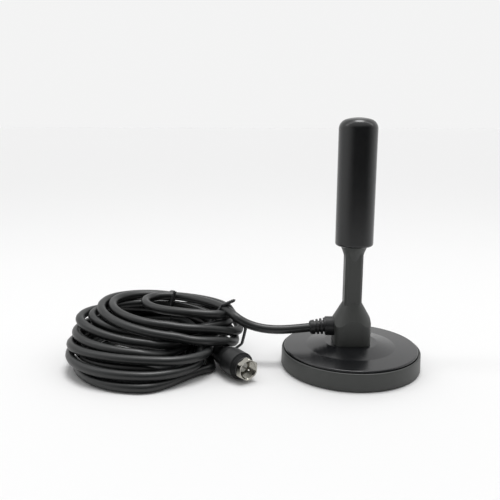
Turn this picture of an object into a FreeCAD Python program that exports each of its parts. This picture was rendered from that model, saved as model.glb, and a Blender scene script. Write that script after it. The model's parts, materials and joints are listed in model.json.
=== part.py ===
"""Indoor TV antenna: a magnetic round base, a moulded mast with a closed head, and a coaxial lead.

Millimetres, +Z up, origin at the middle of the base's underside. The lead leaves the mast's foot towards -X
and lies beside the base as a tied coil, with an F plug at its end.
"""
import FreeCAD
import Part
import math
import os
import Sketcher

from FreeCAD import Placement, Rotation, Vector

# Driving sizes, each with a short note for the spreadsheet
DRIVING = [
    # Base
    ("base_radius", 39.8, "skirt radius at the bottom"),
    ("wall_draft", 0.2, "how far the skirt leans in at its top"),
    ("skirt_wall", 2.0, "skirt wall thickness"),
    ("skirt_lift", 0.3, "skirt's bottom edge above the table"),
    ("skirt_round", 0.7, "rounding of the skirt's two outer edges"),
    ("flange_width", 3.2, "skirt's inner flange, over the pad's edge"),
    ("flange_thick", 1.2, "skirt's inner flange, thickness"),
    ("shelf_width", 1.4, "skirt's inner shelf that carries the cover"),
    ("shelf_height", 1.6, "shelf, height of its upright edge"),
    ("groove_depth", 1.0, "shadow groove between skirt and cover, depth"),
    ("groove_width", 0.6, "shadow groove, width"),
    ("pad_thick", 1.0, "rubber pad"),
    ("pad_margin", 0.2, "gap round the pad"),
    ("magnet_thick", 6.0, "ferrite ring, thickness"),
    ("magnet_hole", 16.0, "ferrite ring, radius of its hole"),
    ("magnet_bevel", 0.6, "ferrite ring, edge bevel"),
    ("disc_thick", 1.5, "steel disc, thickness"),
    ("disc_hole", 12.0, "steel disc, radius of its hole"),
    ("cover_gap", 0.7, "room between the steel disc and the cover's ledge"),
    ("cover_wall", 1.8, "cover thickness"),
    ("rim_height", 2.2, "cover's rim above its ledge"),
    ("rim_round", 0.8, "rounding of the cover's rim"),
    ("lip_thick", 1.3, "cover's locating lip, thickness"),
    ("lip_depth", 1.1, "cover's locating lip, depth"),
    ("annulus_rise", 0.6, "rise of the cover's outer field"),
    ("hub_foot", 25.4, "radius where the hub starts to rise"),
    ("hub_rise", 2.1, "height of the hub above the outer field"),
    ("hub_radius", 15.0, "flat top of the hub"),
    ("rib_radius", 20.0, "hold-down rib under the cover"),
    ("rib_thick", 1.4, "hold-down rib, thickness"),
    ("rib_root", 0.9, "hold-down rib inside the cover"),
    # Mast
    ("foot_half", 10.3, "half the width of the square foot"),
    ("foot_corner", 5.0, "corner radius of the foot"),
    ("foot_wall", 1.9, "foot's wall at the middle of a side"),
    ("shoulder_height", 14.9, "height of the arch on each side of the foot"),
    ("cone_height", 24.3, "height where the cone meets the neck"),
    ("ceiling_drop", 0.6, "foot's inner ceiling below the shoulder"),
    ("neck_flat", 4.95, "half the width of the neck across its flats"),
    ("neck_round", 6.1, "radius of the neck at its rounded corners"),
    ("mast_bore", 3.4, "radius of the hole up the mast"),
    ("mast_height", 56.3, "hub to the head's underside"),
    ("flare_height", 10.9, "height of the flare under the head"),
    ("flare_root", 4.85, "radius where the flare starts"),
    ("flare_top", 7.76, "radius of the flare at the head"),
    ("boss_spread", 5.5, "screw axes from the middle"),
    ("boss_radius", 2.5, "screw bosses in the foot"),
    ("screw_radius", 1.2, "screw shank"),
    ("screw_length", 9.0, "screw shank, length"),
    ("screw_point", 0.4, "screw tip, radius"),
    ("screw_head", 2.4, "screw head, radius"),
    ("head_thick", 1.5, "screw head, thickness"),
    ("drive_radius", 0.9, "screw drive recess, radius"),
    ("drive_depth", 0.8, "screw drive recess, depth"),
    ("pilot_spare", 1.0, "screw hole beyond the screw's tip"),
    # Head
    ("radome_radius", 10.55, "outside of the head"),
    ("radome_length", 70.1, "length of the head"),
    ("radome_wall", 2.1, "head wall"),
    ("radome_round", 1.4, "rounding of the head's lower edge"),
    ("crown_radius", 24.0, "shallow top of the dome"),
    ("dome_round", 5.4, "rounding between the dome and the side"),
    ("socket_wall", 1.6, "head wall round the mast's flange"),
    ("socket_depth", 4.0, "depth of the socket for the mast's flange"),
    ("board_half", 6.8, "half the width of the circuit board"),
    ("board_thick", 1.6, "circuit board, thickness"),
    ("board_length", 59.0, "circuit board, length"),
    ("slot_depth", 3.0, "slot for the board in the mast's flange"),
    ("foil_thick", 0.15, "copper foil"),
    ("foil_half", 5.8, "half the width of a copper arm"),
    ("foil_arm", 19.0, "length of a copper arm"),
    ("foil_gap", 2.0, "gap between the two arms"),
    ("feed_radius", 1.8, "stripped cable in the mast"),
    ("feed_bend", 7.0, "bend radius of the stripped cable"),
    ("feed_reach", 12.0, "stripped cable above the mast's flange"),
    # Strain relief
    ("boot_height", 9.0, "boot axis above the hub"),
    ("boot_droop", 6.5, "how far the boot's taper hangs, degrees"),
    ("boot_collar", 5.45, "boot collar radius"),
    ("boot_collar_length", 4.6, "boot collar length"),
    ("boot_core", 2.0, "stripped cable inside the collar"),
    ("boot_ring", 4.8, "radius of the boot where its rings start"),
    ("boot_sleeve", 4.0, "radius of the boot where its taper ends"),
    ("taper_length", 8.2, "length of the boot's tapered part"),
    ("taper_sunk", 1.2, "length of the taper inside the collar"),
    ("groove_start", 0.7, "collar to the first groove"),
    ("boot_tip", 3.2, "radius at the boot's tip"),
    ("tip_length", 0.8, "length of the boot's chamfered tip"),
    ("boot_groove", 1.1, "width of a groove of the boot"),
    ("groove_root", 3.3, "radius at the bottom of a groove"),
    ("groove_pitch", 2.2, "distance from groove to groove"),
    ("groove_count", 3, "grooves of the boot"),
    ("boot_neck", 3.8, "boot radius in the foot's wall"),
    ("boot_flange", 4.8, "boot radius behind the wall"),
    ("boot_flange_thick", 1.2, "boot flange, thickness"),
    # Lead, laid as a coil
    ("cable_radius", 2.6, "outside of the cable"),
    ("straight_lead", 6.4, "cable that leaves the boot and the plug straight"),
    ("coil_height", 34.5, "height of the coil"),
    ("coil_lift_start", -97.0, "x where the coil's underside starts to rise"),
    ("coil_lift_angle", 14.0, "slope of the coil's underside, degrees"),
    ("tie_width", 1.4, "twist tie, width"),
    ("tie_thick", 0.9, "twist tie, thickness"),
    ("tie_round", 2.2, "corner radius inside a tie"),
    ("tail_radius", 0.8, "twisted end of a tie"),
    ("tail_length", 7.0, "twisted end of a tie, length"),
    ("right_tie_y", 14.0, "right tie, its plane"),
    ("right_tie_left", -81.8, "right tie, inside"),
    ("right_tie_right", -60.3, "right tie, inside"),
    ("right_tie_low", 3.4, "right tie, inside"),
    ("right_tie_high", 35.0, "right tie, inside"),
    ("right_tail_x", -70.5, "right tie, twisted end"),
    ("back_tie_x", -107.0, "back tie, its plane"),
    ("back_tie_front", 26.4, "back tie, inside"),
    ("back_tie_rear", 51.0, "back tie, inside"),
    ("back_tie_high", 35.2, "back tie, inside"),
    ("tunnel_start", 12.0, "room for the plug under the coil, behind its sleeve"),
    # F plug
    ("plug_turn", 34.0, "plug axis from -Y towards +X, degrees"),
    ("plug_mouth_x", -58.9, "middle of the plug's mouth"),
    ("plug_mouth_y", -28.0, "middle of the plug's mouth"),
    ("sleeve_radius", 7.5, "moulded sleeve of the plug"),
    ("sleeve_tip", 3.1, "sleeve radius at the cable"),
    ("sleeve_taper", 21.0, "tapered part of the sleeve"),
    ("sleeve_straight", 9.7, "straight part of the sleeve"),
    ("nose_length", 3.6, "ringed nose of the sleeve"),
    ("nose_drop", 1.4, "how far the nose's last ring lies below the sleeve"),
    ("nose_bore", 5.4, "hole in the nose, radius"),
    ("nose_depth", 6.0, "hole in the nose, depth"),
    ("ring_depth", 0.3, "depth of a groove between two rings of the nose"),
    ("ring_share", 0.6, "ring's part of the distance from ring to ring"),
    ("collar_thick", 1.0, "metal collar in the nose, thickness"),
    ("post_radius", 3.4, "plug's metal post"),
    ("post_wall", 0.6, "wall of the post"),
    ("post_depth", 9.0, "post inside the sleeve"),
    ("post_flange", 4.3, "flange that holds the nut"),
    ("post_flange_thick", 1.2, "flange that holds the nut, thickness"),
    ("nut_half", 5.5, "half the nut's width across flats"),
    ("nut_round", 5.25, "round rear of the nut, inside the nose"),
    ("nut_length", 8.3, "nut"),
    ("hexagon_length", 3.25, "hexagon of the nut, in front of the nose"),
    ("nut_lip", 1.5, "nut's rear lip"),
    ("nut_bore", 4.7, "nut's threaded hole"),
    ("nut_bevel", 0.5, "bevel of the nut's corners"),
    ("mouth_bevel", 0.4, "bevel of the nut's mouth"),
    ("pin_radius", 0.5, "centre pin"),
    ("pin_point", 0.2, "centre pin's tip, radius"),
    ("pin_reach", 0.5, "centre pin beyond the nut"),
    # Clearances
    ("fit_gap", 0.05, "gap of pieces that are pressed or moulded together"),
    ("play", 0.1, "running gap of the nut"),
    ("tie_gap", 0.3, "gap between a tie and the slot for it under the coil"),
    ("tunnel_gap", 0.4, "gap between the coil and the plug under it"),
]

# Sizes worked out from the driving ones
WORKED = [
    # Base, from the table up
    ("wall_top", "=base_radius - wall_draft"),
    ("skirt_inner", "=wall_top - skirt_wall"),
    ("flange_inner", "=skirt_inner - flange_width"),
    ("pad_radius", "=skirt_inner + fit_gap"),
    ("skirt_root", "=pad_radius + pad_margin"),
    ("skirt_edge", "=base_radius - skirt_round"),
    ("skirt_edge_z", "=skirt_lift + skirt_round"),
    ("flange_top_z", "=pad_thick + flange_thick"),
    ("magnet_radius", "=flange_inner - fit_gap"),
    ("magnet_rim", "=magnet_radius - magnet_bevel"),
    ("magnet_eye", "=magnet_hole + magnet_bevel"),
    ("disc_z", "=pad_thick + magnet_thick"),
    ("magnet_bevel_z", "=disc_z - magnet_bevel"),
    ("disc_top", "=disc_z + disc_thick"),
    ("ledge_z", "=disc_top + cover_gap"),
    ("skirt_top_z", "=ledge_z + groove_depth"),
    ("skirt_round_z", "=skirt_top_z - skirt_round"),
    ("skirt_brow", "=wall_top - skirt_round"),
    ("rim_radius", "=skirt_brow - groove_width - fit_gap"),
    ("groove_outer", "=skirt_brow - fit_gap"),
    ("shelf_inner", "=skirt_inner - shelf_width"),
    ("shelf_edge_z", "=ledge_z - shelf_height"),
    ("shelf_root_z", "=shelf_edge_z - shelf_width"),
    ("cover_edge_z", "=ledge_z + rim_height"),
    ("rim_round_z", "=cover_edge_z - rim_round"),
    ("rim_brow", "=rim_radius - rim_round"),
    ("lip_outer", "=shelf_inner - fit_gap"),
    ("lip_inner", "=lip_outer - lip_thick"),
    ("lip_z", "=ledge_z - lip_depth"),
    ("field_z", "=cover_edge_z + annulus_rise"),
    ("hub_z", "=field_z + hub_rise"),
    ("field_under_z", "=field_z - cover_wall"),
    ("edge_under_z", "=cover_edge_z - cover_wall"),
    ("hub_under_z", "=hub_z - cover_wall"),
    ("hub_under", "=hub_radius - cover_wall * hub_rise / (hub_foot - hub_radius)"),
    ("rib_outer", "=rib_radius + rib_thick"),
    ("rib_depth", "=field_under_z - disc_top + rib_root"),
    # Mast
    ("foot_side", "=foot_half - foot_corner"),
    ("shoulder_z", "=hub_z + shoulder_height"),
    ("cone_top_z", "=hub_z + cone_height"),
    ("cone_rate", "=(cone_height - shoulder_height) / (foot_half - neck_flat)"),
    ("cone_reach", "=foot_half * sqrt(2)"),
    ("cone_low_z", "=shoulder_z - (cone_reach - foot_half) * cone_rate"),
    ("neck_side", "=sqrt(neck_round ^ 2 - neck_flat ^ 2)"),
    ("neck_length", "=mast_height - shoulder_height"),
    ("radome_z", "=hub_z + mast_height"),
    ("flare_z", "=radome_z - flare_height"),
    ("flare_round", "=((flare_top - flare_root) ^ 2 + flare_height ^ 2) / (2 * (flare_top - flare_root))"),
    ("socket_radius", "=radome_radius - socket_wall"),
    ("flange_radius", "=socket_radius - fit_gap"),
    ("mast_top_z", "=radome_z + socket_depth"),
    ("cavity_radius", "=foot_half - foot_wall"),
    ("ceiling_z", "=shoulder_z - ceiling_drop"),
    ("ceiling_peak_z", "=ceiling_z + (cavity_radius - mast_bore) * cone_rate"),
    ("boss_length", "=ceiling_z - hub_z + (cavity_radius - boss_spread - boss_radius / 2) * cone_rate"),
    ("pilot_radius", "=screw_radius + fit_gap"),
    ("pilot_depth", "=screw_length - cover_wall + pilot_spare"),
    ("screw_hole", "=screw_radius + 2 * play"),
    ("screw_tip_z", "=hub_under_z + screw_length"),
    ("screw_head_z", "=hub_under_z - head_thick"),
    ("screw_drive_z", "=screw_head_z + drive_depth"),
    ("screw_point_z", "=screw_tip_z - screw_radius"),
    # Head
    ("radome_top_z", "=radome_z + radome_length"),
    ("radome_edge", "=radome_radius - radome_round"),
    ("radome_edge_z", "=radome_z + radome_round"),
    ("dome_side", "=radome_radius - dome_round"),
    ("dome_span", "=crown_radius - dome_round"),
    ("dome_drop", "=sqrt(dome_span ^ 2 - dome_side ^ 2)"),
    ("crown_z", "=radome_top_z - crown_radius"),
    ("dome_z", "=crown_z + dome_drop"),
    ("dome_join", "=crown_radius * dome_side / dome_span"),
    ("dome_join_z", "=crown_z + crown_radius * dome_drop / dome_span"),
    ("cavity_side", "=radome_radius - radome_wall"),
    ("cavity_round", "=dome_round - radome_wall"),
    ("cavity_crown", "=crown_radius - radome_wall"),
    ("cavity_top_z", "=radome_top_z - radome_wall"),
    ("cavity_join", "=cavity_crown * dome_side / dome_span"),
    ("cavity_join_z", "=crown_z + cavity_crown * dome_drop / dome_span"),
    ("board_face", "=feed_radius + fit_gap"),
    ("board_back", "=board_face + board_thick"),
    ("slot_face", "=board_face - fit_gap"),
    ("slot_back", "=board_back + fit_gap"),
    ("slot_half", "=board_half + fit_gap"),
    ("board_z", "=mast_top_z - slot_depth"),
    ("feed_top_z", "=mast_top_z + feed_reach"),
    ("foil_z", "=feed_top_z + foil_gap"),
    ("foil_mid_z", "=foil_z + foil_arm"),
    ("foil_next_z", "=foil_mid_z + foil_gap"),
    ("foil_top_z", "=foil_next_z + foil_arm"),
    # Strain relief, measured along its axis from the foot's outer face
    ("boot_z", "=hub_z + boot_height"),
    ("boot_bore", "=feed_radius + fit_gap"),
    ("taper_end", "=taper_length + tip_length"),
    ("boot_seat", "=-foot_wall"),
    ("boot_back", "=-foot_wall - boot_flange_thick"),
    ("groove_end", "=groove_start + boot_groove"),
    ("groove_clear", "=boot_collar + boot_groove"),
    ("boot_hole", "=boot_neck + fit_gap"),
    ("boot_room", "=boot_flange + fit_gap"),
    ("boot_inside", "=foot_half - foot_wall - 2 * boot_flange_thick"),
    ("core_end_x", "=-foot_half - boot_core"),
    ("boot_end_x", "=-foot_half - boot_collar_length - taper_end * cos(boot_droop)"),
    ("boot_end_z", "=boot_z - taper_end * sin(boot_droop)"),
    # F plug, measured along its axis from the cable end of the sleeve
    ("nose_s", "=sleeve_taper + sleeve_straight"),
    ("sleeve_end", "=nose_s + nose_length"),
    ("nose_floor", "=sleeve_end - nose_depth"),
    ("post_back", "=nose_floor - post_depth"),
    ("post_hole", "=post_radius - post_wall"),
    ("collar_radius", "=nose_bore - fit_gap"),
    ("collar_end", "=nose_floor + collar_thick"),
    ("nut_back", "=collar_end + play"),
    ("lip_end", "=nut_back + nut_lip"),
    ("flange_back", "=lip_end + play"),
    ("flange_end", "=flange_back + post_flange_thick"),
    ("nut_front", "=nut_back + nut_length"),
    ("hexagon_s", "=nut_front - hexagon_length"),
    ("nut_corner", "=2 * nut_half / sqrt(3)"),
    ("nut_corner_half", "=nut_corner / 2"),
    ("nut_crown", "=nut_corner - nut_bevel"),
    ("nut_reach", "=nut_corner + nut_bevel"),
    ("nut_front_bevel", "=nut_front - nut_bevel * 2"),
    ("nut_back_bevel", "=hexagon_s + nut_bevel * 2"),
    ("lip_radius", "=post_radius + play"),
    ("mouth_radius", "=nut_bore + mouth_bevel"),
    ("mouth_s", "=nut_front - mouth_bevel"),
    ("insulator_radius", "=post_hole - fit_gap"),
    ("pin_hole", "=pin_radius + fit_gap"),
    ("pin_tip", "=nut_front + pin_reach"),
    ("pin_shoulder", "=pin_tip - pin_radius"),
    ("tunnel_radius", "=sleeve_radius + tunnel_gap"),
    # Ties
    ("tie_outer_round", "=tie_round + tie_thick"),
    ("right_tie_near", "=right_tie_left + tie_round"),
    ("right_tie_far", "=right_tie_right - tie_round"),
    ("right_tie_down", "=right_tie_low + tie_round"),
    ("right_tie_up", "=right_tie_high - tie_round"),
    ("right_tie_out_left", "=right_tie_left - tie_thick"),
    ("right_tie_out_right", "=right_tie_right + tie_thick"),
    ("right_tie_out_low", "=right_tie_low - tie_thick"),
    ("right_tie_out_high", "=right_tie_high + tie_thick"),
    ("right_tail_y", "=right_tie_y - tie_width / 2"),
    ("back_tie_near", "=back_tie_front + tie_round"),
    ("back_tie_far", "=back_tie_rear - tie_round"),
    ("back_tie_low", "=tie_thick"),
    ("back_tie_down", "=back_tie_low + tie_round"),
    ("back_tie_up", "=back_tie_high - tie_round"),
    ("back_tie_out_front", "=back_tie_front - tie_thick"),
    ("back_tie_out_rear", "=back_tie_rear + tie_thick"),
    ("back_tie_out_high", "=back_tie_high + tie_thick"),
    ("back_tail_x", "=back_tie_x + tie_width / 2"),
    ("back_tail_y", "=back_tie_front - tie_thick / 2"),
]

# Rings round the nose of the plug's sleeve, each a little smaller than the one behind it
NOSE_RINGS = 4
for ring in range(1, NOSE_RINGS + 1):
    WORKED += [
        (f"ring_{ring}", f"=sleeve_radius - nose_drop * {ring} / {NOSE_RINGS}"),
        (f"ring_{ring}_root", f"=ring_{ring} - ring_depth"),
        (f"ring_{ring}_s", f"=nose_s + nose_length * {ring - 1} / {NOSE_RINGS}"),
        (f"ring_{ring}_land", f"=ring_{ring}_s + ring_share * nose_length / {NOSE_RINGS}"),
        (f"ring_{ring}_end", f"=nose_s + nose_length * {ring} / {NOSE_RINGS}"),
    ]

# The coil's outside and its open middle, as ellipses: height share, middle x and y, half length, half depth
COIL_OUTSIDE = [
    (0.00, -111.0, 0.0, 48.0, 43.0),
    (0.26, -113.0, 3.0, 52.0, 45.0),
    (0.61, -112.0, 8.0, 51.0, 42.0),
    (1.00, -98.0, 17.0, 30.0, 22.0),
]
COIL_MIDDLE = [
    (0.00, -111.0, 2.0, 34.0, 27.0),
    (1.00, -97.0, 17.0, 20.0, 12.0),
]

# Routes of the lead where it isn't coiled
RUN_ROUTE = [(-39.5, 0.2, 20.5), (-47.5, 0.6, 20.6), (-55.0, 1.4, 21.7), (-61.5, 2.4, 24.0), (-66.5, 3.5, 27.0)]
TAIL_ROUTE = [(-87.4, 13.9, 6.4), (-92.6, 20.4, 4.2), (-98.6, 26.6, 2.9)]

doc = FreeCAD.newDocument("indoor_tv_antenna")
sheet = doc.addObject("Spreadsheet::Sheet", "sizes")


def fill_sheet():
    """Write the driving and the worked-out sizes, each under its own alias."""
    rows = [(name, str(number), note) for name, number, note in DRIVING]
    rows += [(name, formula, "worked out") for name, formula in WORKED]
    for row, (name, content, note) in enumerate(rows, start=1):
        sheet.set(f"A{row}", name)
        sheet.set(f"B{row}", content)
        sheet.set(f"C{row}", note)
        sheet.setAlias(f"B{row}", name)
    doc.recompute()


def size(name):
    """The number that a cell of the sheet holds; a leading minus turns its sign."""
    if name == "0":
        return 0.0
    if name.startswith("-"):
        return -float(sheet.get(name[1:]))
    return float(sheet.get(name))


def cell(name):
    """The same size as an expression that a dimension is bound to."""
    if name.startswith("-"):
        return f"-sizes.{name[1:]}"
    return f"sizes.{name}"


def new_body(label):
    body = doc.addObject("PartDesign::Body", label)
    body.Label = label
    return body


def new_sketch(body, name, plane, height=None):
    """A sketch on one of the body's own planes, raised along the plane's normal by a named size."""
    sketch = body.newObject("Sketcher::SketchObject", name)
    support = next(item for item in body.Origin.OriginFeatures if item.Role == plane)
    sketch.AttachmentSupport = [(support, "")]
    sketch.MapMode = "FlatFace"
    if height is not None:
        sketch.setExpression("AttachmentOffset.Base.z", cell(height))
    return sketch


def pin_point(sketch, edge, end, across, up):
    """Hold one end of an edge at two named sizes from the sketch's origin."""
    for axis, kind, name in ((-2, "DistanceX", across), (-1, "DistanceY", up)):
        if name == "0":
            sketch.addConstraint(Sketcher.Constraint("PointOnObject", edge, end, axis))
        else:
            index = sketch.addConstraint(Sketcher.Constraint(kind, -1, 1, edge, end, size(name)))
            sketch.setExpression(f"Constraints[{index}]", cell(name))


def arc_between(start, end, radius, side):
    """The short arc from start to end; side is +1 where it turns left and -1 where it turns right."""
    chord = end - start
    middle = (start + end) * 0.5
    left = Vector(-chord.y, chord.x, 0).normalize()
    rise = math.sqrt(max(radius ** 2 - (chord.Length / 2) ** 2, 0.0))
    centre = middle + left * (rise * side)
    first, last = (start, end) if side > 0 else (end, start)
    angles = [math.atan2(point.y - centre.y, point.x - centre.x) for point in (first, last)]
    return Part.ArcOfCircle(Part.Circle(centre, Vector(0, 0, 1), radius), angles[0], angles[1])


def add_outline(sketch, steps):
    """A closed outline. A step is the next point (across, up), with (radius, side) where an arc leads to it."""
    points = [Vector(size(step[0]), size(step[1]), 0) for step in steps]
    ends = []
    for index, step in enumerate(steps):
        start, end = points[index - 1], points[index]
        if len(step) == 2:
            edge = sketch.addGeometry(Part.LineSegment(start, end), False)
            ends.append((edge, 1, 2))
        else:
            radius, side = step[2:]
            edge = sketch.addGeometry(arc_between(start, end, size(radius), side), False)
            bound = sketch.addConstraint(Sketcher.Constraint("Radius", edge, size(radius)))
            sketch.setExpression(f"Constraints[{bound}]", cell(radius))
            ends.append((edge, 1, 2) if side > 0 else (edge, 2, 1))
    for index, step in enumerate(steps):
        edge, _, last = ends[index]
        following, first, _ = ends[(index + 1) % len(ends)]
        sketch.addConstraint(Sketcher.Constraint("Coincident", edge, last, following, first))
        pin_point(sketch, edge, last, step[0], step[1])


def add_circle(sketch, across, up, radius):
    """A circle with its middle at two named sizes from the sketch's origin."""
    middle = Vector(size(across), size(up), 0)
    edge = sketch.addGeometry(Part.Circle(middle, Vector(0, 0, 1), size(radius)), False)
    pin_point(sketch, edge, 3, across, up)
    index = sketch.addConstraint(Sketcher.Constraint("Radius", edge, size(radius)))
    sketch.setExpression(f"Constraints[{index}]", cell(radius))


def rounded_rectangle(left, bottom, right, top, sides, corner):
    """Steps of a rounded rectangle; sides are where its straight edges end: left, bottom, right, top."""
    near, low, far, high = sides
    return [
        (far, bottom),
        (right, low, corner, 1),
        (right, high),
        (far, top, corner, 1),
        (near, top),
        (left, high, corner, 1),
        (left, low),
        (near, bottom, corner, 1),
    ]


def turned(body, name, steps, kind="PartDesign::Revolution", sketch=None):
    """Turn an outline (radius, height) about its sketch's upright axis, to add or to cut."""
    sketch = sketch or new_sketch(body, f"{name}_outline", "XZ_Plane")
    add_outline(sketch, steps)
    feature = body.newObject(kind, name)
    feature.Profile = sketch
    feature.ReferenceAxis = (sketch, ["V_Axis"])
    feature.Angle = 360.0
    sketch.Visibility = False
    doc.recompute()
    return feature


def extruded(body, name, sketch, length, kind="PartDesign::Pad", upward=True):
    """Pad or pocket a sketch by a named length, along its normal or against it."""
    feature = body.newObject(kind, name)
    feature.Profile = sketch
    feature.setExpression("Length", cell(length))
    feature.Reversed = upward == (kind == "PartDesign::Pocket")
    sketch.Visibility = False
    doc.recompute()
    return feature


def cut_volume(body, make_cut):
    """Make a cut and see that it took something away, because a cut beside the solid is silent."""
    before = body.Shape.Volume
    feature = make_cut()
    if body.Shape.Volume >= before:
        raise RuntimeError(f"{feature.Name} cuts nothing")
    return feature


def foot_pad():
    body = new_body("foot_pad")
    turned(body, "pad", [("0", "0"), ("pad_radius", "0"), ("pad_radius", "pad_thick"), ("0", "pad_thick")])
    return body


def base_skirt():
    """Side ring: rounded edges, a flange that lies on the pad and a shelf that carries the cover."""
    body = new_body("base_skirt")
    turned(body, "ring", [
        ("flange_inner", "pad_thick"),
        ("skirt_root", "pad_thick"),
        ("skirt_root", "skirt_lift"),
        ("skirt_edge", "skirt_lift"),
        ("base_radius", "skirt_edge_z", "skirt_round", 1),
        ("wall_top", "skirt_round_z"),
        ("skirt_brow", "skirt_top_z", "skirt_round", 1),
        ("groove_outer", "skirt_top_z"),
        ("groove_outer", "ledge_z"),
        ("shelf_inner", "ledge_z"),
        ("shelf_inner", "shelf_edge_z"),
        ("skirt_inner", "shelf_root_z"),
        ("skirt_inner", "flange_top_z"),
        ("flange_inner", "flange_top_z"),
    ])
    return body


def magnet_ring():
    body = new_body("magnet_ring")
    turned(body, "ferrite", [
        ("magnet_hole", "pad_thick"),
        ("magnet_radius", "pad_thick"),
        ("magnet_radius", "magnet_bevel_z"),
        ("magnet_rim", "disc_z"),
        ("magnet_eye", "disc_z"),
        ("magnet_hole", "magnet_bevel_z"),
    ])
    return body


def steel_disc():
    body = new_body("steel_disc")
    turned(body, "plate", [
        ("disc_hole", "disc_z"),
        ("magnet_rim", "disc_z"),
        ("magnet_rim", "disc_top"),
        ("disc_hole", "disc_top"),
    ])
    return body


def base_cover():
    """Cover: rounded rim, nearly flat field, hub with a flat top, lip and hold-down rib underneath."""
    body = new_body("base_cover")
    turned(body, "shell", [
        ("0", "hub_under_z"),
        ("hub_under", "hub_under_z"),
        ("hub_foot", "field_under_z"),
        ("lip_inner", "edge_under_z"),
        ("lip_inner", "lip_z"),
        ("lip_outer", "lip_z"),
        ("lip_outer", "ledge_z"),
        ("rim_radius", "ledge_z"),
        ("rim_radius", "rim_round_z"),
        ("rim_brow", "cover_edge_z", "rim_round", 1),
        ("hub_foot", "field_z"),
        ("hub_radius", "hub_z"),
        ("0", "hub_z"),
    ])
    rib = new_sketch(body, "rib_outline", "XY_Plane", "disc_top")
    add_circle(rib, "0", "0", "rib_radius")
    add_circle(rib, "0", "0", "rib_outer")
    extruded(body, "rib", rib, "rib_depth")
    holes = new_sketch(body, "screw_holes_outline", "XY_Plane", "hub_z")
    for side in ("boss_spread", "-boss_spread"):
        add_circle(holes, "0", side, "screw_hole")
    cut_volume(body, lambda: extruded(body, "screw_holes", holes, "hub_z", "PartDesign::Pocket", False))
    return body


def mast_screw(index, side):
    """Self-tapping screw with a pan head, its point up in a boss of the foot."""
    body = new_body(f"mast_screw_{index}")
    turned(body, f"screw_{index}", [
        ("0", "screw_drive_z"),
        ("drive_radius", "screw_drive_z"),
        ("drive_radius", "screw_head_z"),
        ("screw_head", "screw_head_z"),
        ("screw_head", "hub_under_z"),
        ("screw_radius", "hub_under_z"),
        ("screw_radius", "screw_point_z"),
        ("screw_point", "screw_tip_z"),
        ("0", "screw_tip_z"),
    ])
    body.setExpression("Placement.Base.y", cell(side))
    return body


def mast_screws():
    group = doc.addObject("Part::Compound", "mast_screws")
    group.Links = [mast_screw(1, "boss_spread"), mast_screw(2, "-boss_spread")]
    return group


def mast():
    """One hollow moulding: a cone trims the square foot to four arches, and a flare rises out of the neck."""
    body = new_body("mast")
    foot = new_sketch(body, "foot_outline", "XY_Plane", "hub_z")
    add_outline(foot, rounded_rectangle(
        "-foot_half", "-foot_half", "foot_half", "foot_half",
        ("-foot_side", "-foot_side", "foot_side", "foot_side"), "foot_corner"))
    extruded(body, "foot", foot, "cone_height")
    cut_volume(body, lambda: turned(body, "foot_cone", [
        ("neck_flat", "cone_top_z"),
        ("cone_reach", "cone_low_z"),
        ("cone_reach", "cone_top_z"),
    ], "PartDesign::Groove"))
    neck = new_sketch(body, "neck_outline", "XY_Plane", "shoulder_z")
    add_outline(neck, [
        ("neck_flat", "neck_side"),
        ("neck_side", "neck_flat", "neck_round", 1),
        ("-neck_side", "neck_flat"),
        ("-neck_flat", "neck_side", "neck_round", 1),
        ("-neck_flat", "-neck_side"),
        ("-neck_side", "-neck_flat", "neck_round", 1),
        ("neck_side", "-neck_flat"),
        ("neck_flat", "-neck_side", "neck_round", 1),
    ])
    extruded(body, "neck", neck, "neck_length")
    turned(body, "flare", [
        ("0", "flare_z"),
        ("flare_root", "flare_z"),
        ("flare_top", "radome_z", "flare_round", -1),
        ("flange_radius", "radome_z"),
        ("flange_radius", "mast_top_z"),
        ("0", "mast_top_z"),
    ])
    cut_volume(body, lambda: turned(body, "hollow", [
        ("0", "hub_z"),
        ("cavity_radius", "hub_z"),
        ("cavity_radius", "ceiling_z"),
        ("mast_bore", "ceiling_peak_z"),
        ("mast_bore", "mast_top_z"),
        ("0", "mast_top_z"),
    ], "PartDesign::Groove"))
    bosses = new_sketch(body, "bosses_outline", "XY_Plane", "hub_z")
    pilots = new_sketch(body, "pilots_outline", "XY_Plane", "hub_z")
    for side in ("boss_spread", "-boss_spread"):
        add_circle(bosses, "0", side, "boss_radius")
        add_circle(pilots, "0", side, "pilot_radius")
    extruded(body, "bosses", bosses, "boss_length")
    cut_volume(body, lambda: extruded(body, "pilots", pilots, "pilot_depth", "PartDesign::Pocket"))
    room = new_sketch(body, "boot_room_outline", "YZ_Plane", "-boot_inside")
    add_circle(room, "0", "boot_z", "boot_room")
    seat_depth = extruded(body, "boot_seat", room, "boot_flange_thick", "PartDesign::Pocket", False)
    seat_depth.setExpression("Length", "2 * sizes.boot_flange_thick")
    hole = new_sketch(body, "boot_hole_outline", "YZ_Plane", "-boot_inside")
    add_circle(hole, "0", "boot_z", "boot_hole")
    cut_volume(body, lambda: extruded(body, "boot_wall_hole", hole, "foot_half", "PartDesign::Pocket", False))
    slot = new_sketch(body, "board_slot_outline", "XY_Plane", "mast_top_z")
    add_outline(slot, [
        ("-slot_half", "slot_face"),
        ("slot_half", "slot_face"),
        ("slot_half", "slot_back"),
        ("-slot_half", "slot_back"),
    ])
    cut_volume(body, lambda: extruded(body, "board_slot", slot, "slot_depth", "PartDesign::Pocket", False))
    return body


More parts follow.
